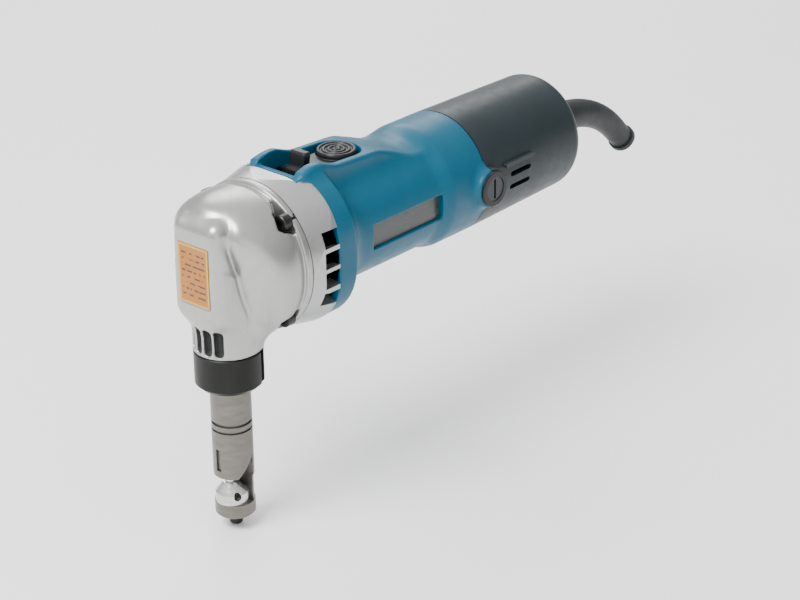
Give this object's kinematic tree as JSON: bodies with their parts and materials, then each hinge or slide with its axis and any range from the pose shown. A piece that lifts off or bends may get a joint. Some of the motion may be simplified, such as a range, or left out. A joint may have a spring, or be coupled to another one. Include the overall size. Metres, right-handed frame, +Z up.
{
  "type": "nibbler tool",
  "caption": "Electric nibbler with an in-line motor grip, a right-angle gear head and a swivelling die holder with punch and die.",
  "frame": {"origin": "cutting point: centre of the die holder tube at the height of the die's top face", "axes": "+Z up along the punch axis, +X along the motor towards the cord, +Y to the tool's right side as seen from the cord looking at the head, completed by the right-hand rule"},
  "size_m": [0.3465, 0.0776, 0.1859],
  "materials": {
    "gear_case_paint": "satin silver paint over cast aluminium",
    "exhaust_ring_metal": "satin silver finish",
    "housing_plastic": "blue-green glass-filled nylon, satin",
    "cover_plastic": "dark green-grey moulded plastic, satin",
    "guard_rubber": "soft black rubber",
    "label_foil": "amber printed foil",
    "side_plate_foil": "brushed dark foil",
    "black_screw": "black oxide",
    "nut_steel": "black oxide",
    "holder_steel": "hardened grey-brown steel",
    "die_steel": "ground tool steel",
    "punch_steel": "ground tool steel",
    "machined_steel": "machined",
    "bearing_steel": "polished",
    "bronze": "sintered bronze",
    "lamination_steel": "stacked electrical steel",
    "copper_wire": "enamelled copper wire",
    "commutator_copper": "turned copper bars",
    "carbon": "pressed carbon",
    "switch_plastic": "black moulded plastic, satin",
    "cap_plastic": "dark grey moulded plastic",
    "brown_plastic": "brown insulating plastic",
    "white_plastic": "white nylon",
    "seal_felt": "oiled felt",
    "boot_rubber": "moulded rubber"
  },
  "bodies": {
    "housing": {"gear_housing": "gear_case_paint", "label_plate": "label_foil", "exhaust_ring": "exhaust_ring_metal", "housing_screws": "black_screw", "motor_housing": "housing_plastic", "side_plates": "side_plate_foil", "rear_cover": "cover_plastic", "rear_cover_screws": "black_screw", "cord_guard": "guard_rubber", "cord_clamp": "brown_plastic", "cord_clamp_screws": "machined_steel", "brush_holders": "switch_plastic", "brush_caps": "cap_plastic", "carbon_brushes": "carbon", "brush_springs": "machined_steel", "motor_bearing_front": "bearing_steel", "motor_bearing_rear": "bearing_steel", "bearing_boot": "boot_rubber", "field_core": "lamination_steel", "field_coils": "copper_wire", "fan_baffle": "switch_plastic", "switch_body": "brown_plastic", "crank_bearing": "bearing_steel", "crank_bush": "bronze", "ram_bush": "bronze", "ram_seal": "seal_felt"},
    "armature": {"armature_shaft": "machined_steel", "cooling_fan": "switch_plastic", "armature_core": "lamination_steel", "armature_winding": "copper_wire", "commutator": "commutator_copper"},
    "crank": {"crank_shaft": "machined_steel", "crank_roller": "bearing_steel", "crank_gear": "machined_steel"},
    "crank_washer": {"thrust_washer": "machined_steel"},
    "ram": {"ram": "machined_steel", "swivel_pins": "bearing_steel"},
    "punch": {"punch_holder": "machined_steel", "punch_screw": "black_screw", "punch": "punch_steel"},
    "die_holder": {"die_holder": "holder_steel", "die": "die_steel", "die_bolt": "black_screw"},
    "lock_nut": {"lock_nut": "nut_steel"},
    "switch": {"switch_slider": "switch_plastic", "switch_rod": "white_plastic"}
  },
  "joints": [
    {"name": "armature_spin", "type": "hinge", "parent": "housing", "child": "armature", "pos_m": [0.1, 0, 0.116], "axis": [1, 0, 0], "continuous": true},
    {"name": "crank_spin", "type": "hinge", "parent": "housing", "child": "crank", "pos_m": [0.01, 0, 0.134], "axis": [1, 0, 0], "continuous": true},
    {"name": "washer_turn", "type": "hinge", "parent": "crank", "child": "crank_washer", "pos_m": [0.0066, 0, 0.1325], "axis": [1, 0, 0], "continuous": true},
    {"name": "ram_stroke", "type": "hinge", "parent": "crank_washer", "child": "ram", "pos_m": [0, 0, 0.131], "axis": [1, 0, 0], "continuous": true},
    {"name": "punch_swivel", "type": "hinge", "parent": "ram", "child": "punch", "pos_m": [0, 0, 0.055], "axis": [0, 0, 1], "range_deg": [-180, 180]},
    {"name": "die_swivel", "type": "hinge", "parent": "housing", "child": "die_holder", "pos_m": [0, 0, 0.06], "axis": [0, 0, 1], "range_deg": [-180, 180]},
    {"name": "lock_nut_turn", "type": "hinge", "parent": "housing", "child": "lock_nut", "pos_m": [0, 0, 0.064], "axis": [0, 0, 1], "range_deg": [-90, 0]},
    {"name": "switch_slide", "type": "slide", "parent": "housing", "child": "switch", "axis": [-1, 0, 0], "range_m": [0, 0.0065]}
  ],
  "couplings": [
    {"joint": "armature_spin", "follows": "crank_spin", "ratio": -5.6667},
    {"joint": "washer_turn", "follows": "crank_spin", "ratio": -2},
    {"joint": "ram_stroke", "follows": "crank_spin", "ratio": 1},
    {"joint": "punch_swivel", "follows": "die_swivel", "ratio": 1}
  ]
}
